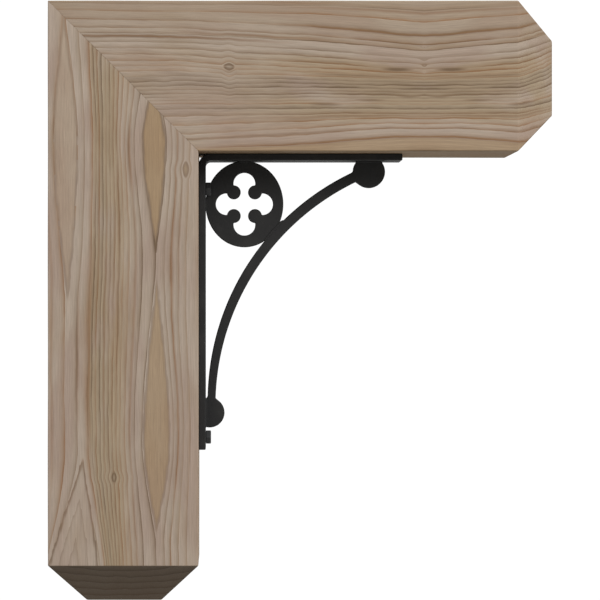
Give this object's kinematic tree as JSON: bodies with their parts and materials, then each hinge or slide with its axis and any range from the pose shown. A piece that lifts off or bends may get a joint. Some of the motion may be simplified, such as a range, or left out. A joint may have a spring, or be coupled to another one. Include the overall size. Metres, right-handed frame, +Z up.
{
  "type": "wooden corbel bracket",
  "caption": "Timber corbel with a mitred post and beam, chamfered ends, and a black iron strap, quatrefoil ring and curved brace in the corner. Carries a shelf, beam or eave from a wall.",
  "frame": {"origin": "middle of the flat face that the post puts against the wall, half way between its top edge and the start of its foot chamfer", "axes": "+Z up along the post, +X out of the wall along the beam, +Y sideways across the timbers"},
  "size_m": [0.471, 0.1396, 0.5588],
  "materials": {
    "timber": "planed smooth softwood, unfinished, matt, with fine straight grain and a few wide growth rings",
    "black_iron": "matt charcoal black powder coat over forged steel",
    "screw_iron": "matt black coated hexagon lag screws"
  },
  "bodies": {
    "root": {"post": "timber", "beam": "timber", "iron_strap": "black_iron", "quatrefoil_ring": "black_iron", "curved_brace": "black_iron", "lag_screw_post_upper": "screw_iron", "lag_screw_post_lower": "screw_iron", "lag_screw_beam_inner": "screw_iron", "lag_screw_beam_outer": "screw_iron"}
  },
  "joints": []
}
